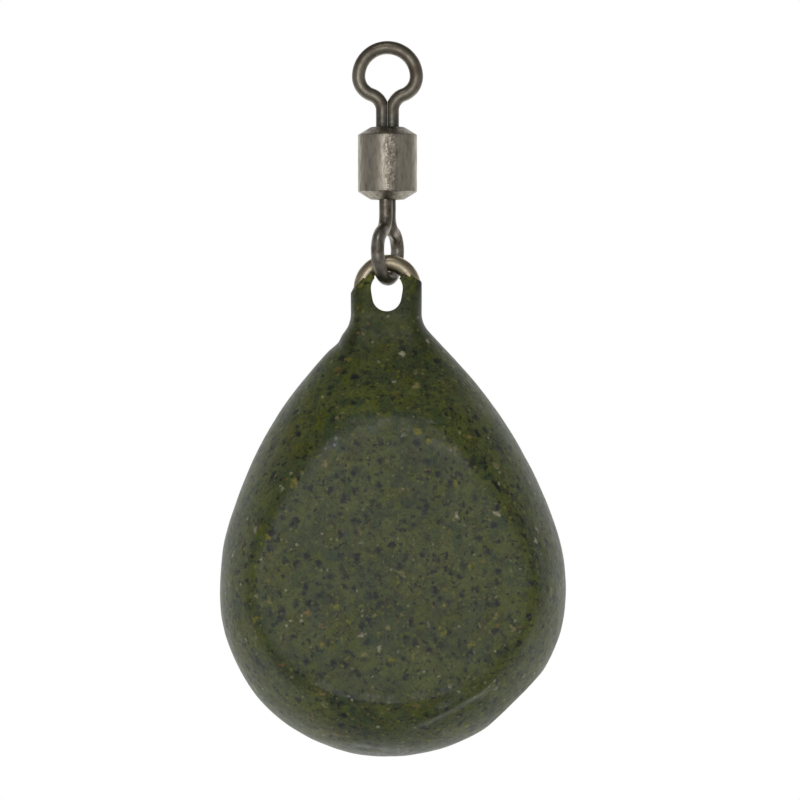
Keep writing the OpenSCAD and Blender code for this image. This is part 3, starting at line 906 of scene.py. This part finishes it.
# %% Put a point in its place
def placed(x, y, z):
    """A ring's point with the nose's bevels, the ragged edge, the gate's flat and the unevenness."""
    if z > 0:
        z = z / TIP_Z * edge_height(x, y)
    low, high, cut = LEFT_BEVEL if x < 0 else RIGHT_BEVEL
    x = x * (1 - cut * share(z, low, high)) + shift(z)
    over = x * GATE_X + z * GATE_Z - GATE_REACH
    if over > -GATE_SOFT:
        over = over if over > GATE_SOFT else (over + GATE_SOFT) ** 2 / (4 * GATE_SOFT)
        x, z = x - over * GATE_X, z - over * GATE_Z
    p = Vector((x, y, z))
    swell = noise.noise(p * 0.22 + Vector((7, 2, 9))) * 0.08 + noise.noise(p * 0.8) * 0.02
    swell *= 0.3 + 0.7 * share(-z, -0.2, 3.0)
    swell -= DIP_DEEP * math.exp(-((Vector((x, z)) - DIP).length / DIP_WIDE) ** 2)
    if y < 0:
        swell += ridge_height(x, z)
    out = Vector((x, y * 1.6, (z - WIDEST_Z) if z < WIDEST_Z else 0)).normalized()
    return p + out * swell


print("the lowest point lies at", [round(v, 2) for v in placed(0, 0, BOTTOM_Z)])

# %% [markdown]
# ## Join the rings
# Neighbouring rings are joined by four-sided faces. The lowest ring closes in a pole, as the round base
# does, and the highest is closed by strips from the front to the back, because the nose is long and thin.

# %% Join the rings
AROUND = 4 * QUARTER
verts = [placed(*p) for r in rings for p in r]
faces = []
for k in range(len(rings) - 1):
    for i in range(AROUND):
        a, b = k * AROUND + i, k * AROUND + (i + 1) % AROUND
        faces.append((a, b, b + AROUND, a + AROUND))
pole = len(verts)
verts.append(placed(0, 0, BOTTOM_Z))
faces += [(pole, (i + 1) % AROUND, i) for i in range(AROUND)]
top, n = (len(rings) - 1) * AROUND, QUARTER
for i in range(n - 1):
    faces.append((top + i, top + i + 1, top + 2 * n - i - 1, top + 2 * n - i))
    faces.append((top + (AROUND - i) % AROUND, top + 2 * n + i, top + 2 * n + i + 1, top + AROUND - i - 1))
faces.append((top + n - 1, top + n, top + n + 1))
faces.append((top + 3 * n + 1, top + 3 * n - 1, top + 3 * n))
coat = mesh_object("speckled_coat", [(x, y, z + LOOP_Z) for x, y, z in verts], [], faces)
print("coat faces before the hole:", close_up(coat))

# %% [markdown]
# ## The hole in the nose
# The hole is egg-shaped: a round top that follows the loop and a smaller round end below.
# A Boolean cuts it. The cut leaves a hard rim, and baked paint never has one, so the points near
# the rim are smoothed a little afterwards.

# %% A punch for the hole
HOLE_R, HOLE_END_R, HOLE_DROP, HOLE_X = 1.15, 1.05, 1.67, -0.05
HOLE_END_DROP = HOLE_DROP - HOLE_END_R
HOLE_LEAN = math.asin((HOLE_R - HOLE_END_R) / HOLE_END_DROP)
PUNCH_L, SLICES = 4.8, 30
outline = [(HOLE_X + HOLE_R * math.cos(a), HOLE_R * math.sin(a))
           for a in (-HOLE_LEAN + (math.pi + 2 * HOLE_LEAN) * i / 44 for i in range(45))]
outline += [(HOLE_X + HOLE_END_R * math.cos(a), HOLE_END_R * math.sin(a) - HOLE_END_DROP)
            for a in (math.pi + HOLE_LEAN + (math.pi - 2 * HOLE_LEAN) * i / 26 for i in range(27))]
n = len(outline)
verts = [(x, -PUNCH_L / 2 + PUNCH_L * j / SLICES, z + LOOP_Z)
         for j in range(SLICES + 1) for x, z in outline]
faces = [(j * n + i, j * n + (i + 1) % n, (j + 1) * n + (i + 1) % n, (j + 1) * n + i)
         for j in range(SLICES) for i in range(n)]
faces += [tuple(range(n - 1, -1, -1)), tuple(SLICES * n + i for i in range(n))]
punch = mesh_object("punch", verts, [], faces)
print("punch faces:", close_up(punch))

# %% Cut the hole
cut = coat.modifiers.new("hole", "BOOLEAN")
cut.operation, cut.object, cut.solver = "DIFFERENCE", punch, "EXACT"
coat.data = baked(coat, cut)
bpy.data.objects.remove(punch)
print("coat faces with the hole:", len(coat.data.polygons))


# %% Soften the rim of the hole
def rim_distance(x, z):
    """How far a point in the upright plane lies from the hole's outline, in mm from the loop's middle."""
    return min(math.hypot(x - a, z - b) for a, b in outline)


RIM_NEAR, ROUNDS = 0.16, 4
shape = bmesh.new()
shape.from_mesh(coat.data)
bmesh.ops.remove_doubles(shape, verts=shape.verts, dist=2e-6)
rim = [v for v in shape.verts
       if abs(v.co.x) < 1.5 * MM and v.co.z > (LOOP_Z - 2.1) * MM and abs(v.co.y) > 0.35 * MM
       and rim_distance(v.co.x / MM, v.co.z / MM - LOOP_Z) < RIM_NEAR]
for _ in range(ROUNDS):
    bmesh.ops.smooth_vert(shape, verts=rim, factor=0.5, use_axis_x=True, use_axis_y=True, use_axis_z=True)
settle_faces(shape)
shape.to_mesh(coat.data)
shape.free()
print("rim points smoothed:", len(rim))

# %% [markdown]
# ## Where the coating is rubbed, and where a highlight is painted
# Two such leads knock together in the box at the soft edge round each panel. The paler paint there is worn
# paint and also a painted highlight along that edge. A shader can't tell where that edge is, but the mesh
# can:
# its faces lean a little there, and it lies far out. Each point gets a number for that, and the paint reads
# it back by its name.

# %% Find the rubbed edge of the panels
normals = np.array([v.normal for v in coat.data.vertices])
points = np.array([v.co for v in coat.data.vertices])
across, out, up = points[:, 0] / MM, np.abs(points[:, 1]) / MM, points[:, 2] / MM - LOOP_Z
# Worn paint and a painted highlight on the panels' soft edges
rubbed = np.interp(np.abs(normals[:, 1]), [0.89, 0.95, 0.985, 0.997], [0, 1, 1, 0])
rubbed *= np.interp(out, [6.2, 6.6], [0, 1])
rubbed *= np.interp(up, [-30, -28.5, -27, -13.5, -11.5], [0.7, 0.7, 0.15, 0.15, 1])
print("points on the rubbed edge:", int((rubbed > 0.5).sum()), "of", len(rubbed))

# %% [markdown]
# ## Three more pale places
# The edge at the panel's top is a long low arc of worn paint and painted highlight. The base is worn all
# over where the lead stands and drags, and its pale band is also a painted sheen. A pale streak across the
# lowest part of the front is a painted highlight. Each is a soft band at a height that changes from left to
# right.

# %% Add the arc, the base and the streak
ARC_X, ARC_TOP, ARC_BEND, ARC_WIDE = -0.2, -9.75, 0.118, 0.34
STREAK_Z, STREAK_SLOPE, STREAK_WIDE = -33.05, 0.15, 0.15
# The arc is worn paint and a painted highlight, the base band is worn paint and a painted sheen, and the
# streak is a painted highlight
arc = np.exp(-((up - ARC_TOP + ARC_BEND * (across - ARC_X) ** 2) / ARC_WIDE) ** 2)
base = np.interp(up, [-33.5, -33.0, -32.3], [1.4, 1.1, 0])
streak_highlight = np.exp(-((up - STREAK_Z + STREAK_SLOPE * across) / STREAK_WIDE) ** 2) * (points[:, 1] < 0)
rubbed = np.maximum(rubbed, arc * np.interp(np.abs(across - ARC_X), [3.2, 4.6], [1, 0.1]))
rubbed = np.maximum(rubbed, base)
rubbed = np.maximum(rubbed, streak_highlight * np.interp(across, [-2.9, -2.2, 0.0, 1.0], [0, 4, 4, 0]))
wear_and_highlight_attribute = coat.data.attributes.new("rubbed", "FLOAT", "POINT")
wear_and_highlight_attribute.data.foreach_set("value", rubbed.astype(np.float32))
print("points that are rubbed now:", int((rubbed > 0.5).sum()), "of", len(rubbed))

# %% [markdown]
# ## Speckled coating
# The coating is an olive paint that is filled with ground-up chips. Most are soft blue-black flecks of
# no set shape, some are yellow or green smudges, and a few are hard tan crumbs. The flecks could be loose
# geometry, but they lie flush in the paint, so they are patterns. A fleck is where a noise rises above
# a limit, and a slower noise moves that limit, so that the flecks gather in some places.


# %% The fleck group
def fleck_group():
    """Soft flecks of no set shape, as a mask."""
    tree, given, result = new_group(
        "paint flecks", "ShaderNodeTree",
        {"Vector": "Vector", "Size": 0.5 * MM, "Limit": 0.6, "Softness": 0.04, "Clumping": 0.15,
         "Seed": 0.0},
        {"Mask": "Float"})
    scale = math_node(tree, "DIVIDE", 1.0, given["Size"])
    flecks = clouds(tree, given["Vector"], scale, 1.5, seed=given["Seed"], Roughness=0.55, Distortion=0.3)
    clumps = clouds(tree, given["Vector"], times(tree, scale, 0.22), 1.0, seed=given["Seed"])
    gather = times(tree, math_node(tree, "SUBTRACT", clumps, 0.5), given["Clumping"])
    full = plus(tree, given["Limit"], given["Softness"])
    mask = climb(tree, plus(tree, flecks, gather), given["Limit"], full, smooth=True)
    tree.links.new(mask, result["Mask"])
    return tree


FLECKS = fleck_group()
print("nodes in the flecks:", len(FLECKS.nodes))

# %% [markdown]
# ## Chips and crumbs
# A chip or a crumb has a shape of its own and a firmer edge. A Voronoi pattern gives each cell one round
# grain, and noise bends the grain out of round. Some cells stay empty, and each grain has its own size
# and its own tone, which the colour is taken from.


# %% The crumb group
def crumb_group():
    """Grains of random size, as a mask and a tone for each."""
    tree, given, result = new_group(
        "paint crumbs", "ShaderNodeTree",
        {"Vector": "Vector", "Cell": 0.7 * MM, "Share": 0.3, "Smallest": 0.15, "Largest": 0.4, "Bend": 0.3},
        {"Mask": "Float", "Tone": "Float"})

    def vector_node(operation, sockets):
        return add(tree, "ShaderNodeVectorMath", sockets, operation=operation).outputs[0]

    scale = math_node(tree, "DIVIDE", 1.0, given["Cell"])
    scaled = vector_node("SCALE", {0: given["Vector"], "Scale": scale})
    wobble = add(tree, "ShaderNodeTexNoise",
                 {"Vector": scaled, "Scale": 2.2, "Detail": 2.0}).outputs["Color"]
    wobble = vector_node("SUBTRACT", {0: wobble, 1: (0.5, 0.5, 0.5)})
    wobble = vector_node("SCALE", {0: wobble, "Scale": given["Bend"]})
    bent = vector_node("ADD", {0: scaled, 1: wobble})
    cells = add(tree, "ShaderNodeTexVoronoi", {"Vector": bent, "Scale": 1.0}, feature="F1").outputs
    lot = add(tree, "ShaderNodeSeparateColor", {0: cells["Color"]}).outputs
    present = math_node(tree, "LESS_THAN", lot[0], given["Share"])
    size = climb(tree, lot[1], 0.0, 1.0, low=given["Smallest"], high=given["Largest"])
    mask = climb(tree, math_node(tree, "SUBTRACT", size, cells["Distance"]), -0.1, 0.16)
    tree.links.new(times(tree, mask, present), result["Mask"])
    tree.links.new(lot[2], result["Tone"])
    return tree


CRUMBS = crumb_group()
print("nodes in the crumbs:", len(CRUMBS.nodes))

# %% [markdown]
# ## Olive paint and its flecks
# The plain paint is olive. Over it lie seven layers of flecks, the large and soft ones first and the
# small black ones last, as they would show through each other in a real film of paint.

# %% Start the coating's material
COAT_PAINT = bpy.data.materials.new("speckled_paint")
tree = emptied(COAT_PAINT)
place = add(tree, "ShaderNodeTexCoord").outputs["Object"]


def flecks_at(size, limit, softness, clumping, seed):
    """A mask of flecks in the coating's material, with their size in mm."""
    return grouped(tree, FLECKS, place, {"Size": size * MM, "Limit": limit, "Softness": softness,
                                         "Clumping": clumping, "Seed": seed})["Mask"]


def crumbs_at(cell, part, smallest, largest, wobble):
    """A mask and a tone of crumbs in the coating's material, with their cell in mm."""
    return grouped(tree, CRUMBS, place, {"Cell": cell * MM, "Share": part, "Smallest": smallest,
                                         "Largest": largest, "Bend": wobble})


print("flecks and crumbs can be laid on", COAT_PAINT.name)

# %% Olive paint and flecks
layers = (
    # size in mm, limit, softness, clumping, seed, opacity, colour
    (3.4, 0.44, 0.16, 0.0, 9.0, 0.80, (0.078, 0.104, 0.030, 1)),
    (1.5, 0.50, 0.14, 0.2, 1.0, 0.85, (0.124, 0.146, 0.005, 1)),
    (1.1, 0.54, 0.12, 0.2, 2.0, 0.60, (0.036, 0.080, 0.026, 1)),
    (0.8, 0.56, 0.10, 0.3, 3.0, 0.45, (0.098, 0.076, 0.014, 1)),
    (0.35, 0.44, 0.26, 0.4, 4.0, 0.56, (0.024, 0.034, 0.016, 1)),
    (0.16, 0.50, 0.14, 0.3, 6.0, 0.42, (0.012, 0.014, 0.008, 1)),
    (0.4, 0.60, 0.10, 0.3, 5.0, 0.80, (0.007, 0.008, 0.007, 1)),
)
paint = (0.132, 0.158, 0.030, 1)
for *kind, opacity, colour in layers:
    paint = mix_colour(tree, times(tree, flecks_at(*kind), opacity), paint, colour)
print("layers of flecks:", len(layers))

# %% [markdown]
# ## Blue-black chips
# The darkest things in the paint are chips from a tenth to half a millimetre long. Two sizes of cell
# give small ones close together and larger ones further apart, and each chip has its own grey.

# %% Blue-black chips
for cell, part, largest in ((0.46, 0.27, 0.36), (0.84, 0.5, 0.42)):
    chips = crumbs_at(cell, part, 0.14, largest, 0.85)
    grey = mix_colour(tree, chips["Tone"], (0.002, 0.003, 0.005, 1), (0.012, 0.017, 0.014, 1))
    paint = mix_colour(tree, chips["Mask"], paint, grey)
print("nodes up to the chips:", len(tree.nodes))

# %% [markdown]
# ## Painted sheen on the faces, and rubbed places
# The two flat faces are painted a little greyer and paler all over: a painted sheen. Where the mesh is
# marked as rubbed, the paint is paler in patches, and chalky grains stick there, because paint wears off in
# small crumbs and not as a smooth fade. On the panels' edges and the base that paleness is also a painted
# highlight and sheen, and the streak is a painted highlight.

# %% Painted sheen on the faces, and rubbed places
spot = add(tree, "ShaderNodeSeparateXYZ", {0: place}).outputs
depth = math_node(tree, "ABSOLUTE", spot["Y"])
# Painted sheen: the flat faces, which lie furthest out, are mixed towards grey
face_sheen = climb(tree, depth, 6.4 * MM, 7.0 * MM, high=0.12, smooth=True)
paint = mix_colour(tree, face_sheen, paint, (0.085, 0.088, 0.085, 1))
# The rubbed mark: worn paint with chalky grains, and a painted highlight and sheen on the edges, the streak
# and the base
wear_and_highlight = add(tree, "ShaderNodeAttribute", attribute_name="rubbed").outputs["Fac"]
patchy = flecks_at(1.6, 0.4, 0.16, 0.0, 8.0)
wear_and_highlight = times(tree, wear_and_highlight, plus(tree, 0.25, times(tree, patchy, 0.75)))
paint = mix_colour(tree, times(tree, wear_and_highlight, 0.36, clamp=True), paint, (0.27, 0.28, 0.25, 1))
chalk = crumbs_at(0.34, 0.4, 0.16, 0.44, 1.0)["Mask"]
paint = mix_colour(tree, times(tree, chalk, wear_and_highlight, clamp=True), paint, (0.34, 0.35, 0.31, 1))
print("the paint reads the attribute", wear_and_highlight_attribute.name)

# %% [markdown]
# ## The neck
# Towards the nose the paint is darkened: a painted shade. At its edge on the wire it is a mossy green, and
# at the two outer corners it is nearly black. Both are flecks again, which fade in towards their place.

# %% The neck
# Painted shade: the paint darkens towards the nose
neck = climb(tree, spot["Z"], (LOOP_Z - 7) * MM, (LOOP_Z - 3) * MM, high=0.42, smooth=True)
paint = mix_colour(tree, neck, paint, (0.024, 0.030, 0.001, 1))
top = climb(tree, spot["Z"], (LOOP_Z - 0.7) * MM, (LOOP_Z + 0.4) * MM, smooth=True)
moss = flecks_at(0.6, 0.46, 0.1, 0.15, 12.0)
paint = mix_colour(tree, times(tree, moss, times(tree, top, 0.8)), paint, (0.150, 0.175, 0.010, 1))
side = climb(tree, math_node(tree, "ABSOLUTE", spot["X"]), 1.7 * MM, 2.3 * MM)
tar = flecks_at(0.5, 0.44, 0.06, 0.15, 14.0)
paint = mix_colour(tree, times(tree, times(tree, tar, top), side), paint, (0.006, 0.008, 0.004, 1))
print("nodes up to the neck:", len(tree.nodes))

# %% [markdown]
# ## Tan crumbs
# Small yellow and tan crumbs lie in the paint, with a few larger and paler ones among them. Their tone
# runs through a ramp from olive yellow over brown to cream, because no two crumbs have the same colour.

# %% Tan crumbs
crumb_kinds = (
    # cell in mm, share, smallest, largest, opacity
    (0.36, 0.26, 0.14, 0.42, 0.6),
    (0.95, 0.3, 0.1, 0.28, 1.0),
)
tones = (
    # place on the ramp, colour
    (0.35, (0.28, 0.24, 0.03, 1)),
    (0.55, (0.32, 0.28, 0.11, 1)),
    (0.68, (0.25, 0.12, 0.02, 1)),
    (0.82, (0.38, 0.36, 0.22, 1)),
)
for cell, part, smallest, largest, opacity in crumb_kinds:
    crumbs = crumbs_at(cell, part, smallest, largest, 0.9)
    ramp = add(tree, "ShaderNodeValToRGB", {"Fac": crumbs["Tone"]})
    ramp.color_ramp.elements[0].color = (0.25, 0.25, 0.016, 1)
    ramp.color_ramp.elements[1].color = (0.66, 0.62, 0.42, 1)
    for position, colour in tones:
        ramp.color_ramp.elements.new(position).color = colour
    paint = mix_colour(tree, times(tree, crumbs["Mask"], opacity), paint, ramp.outputs[0])
print("kinds of crumbs:", len(crumb_kinds))

# %% [markdown]
# ## Relief and finish
# Baked paint has a fine grain and low lumps, and the larger crumbs stand out of it. That is far too
# fine for the mesh, so it is a bump. The paint is half dull, and a little sheen keeps its edges pale.

# %% Relief and finish
grain = clouds(tree, place, 2600.0, 3.0)
lumps = clouds(tree, place, 900.0, 2.0)
rough = climb(tree, grain, 0.3, 0.7, low=0.4, high=0.52)
height = plus(tree, plus(tree, times(tree, grain, 0.4), lumps), times(tree, crumbs["Mask"], 0.6))
relief = add(tree, "ShaderNodeBump", {"Height": height, "Strength": 0.5, "Distance": 0.06 * MM})
body = add(tree, "ShaderNodeBsdfPrincipled",
           {"Base Color": paint, "Roughness": rough, "Normal": relief.outputs[0],
            "Sheen Weight": 0.15, "Sheen Roughness": 0.3})
add(tree, "ShaderNodeOutputMaterial", {"Surface": body.outputs[0]})
coat.data.materials.clear()
coat.data.materials.append(COAT_PAINT)
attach(coat, "weight")
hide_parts("coating")
print("coat:", len(coat.data.polygons), "faces in", COAT_PAINT.name)

# %% [markdown]
# ## Finish
# The scene's view transform is set to Standard.

# %% Finish
bpy.context.scene.view_settings.view_transform = "Standard"
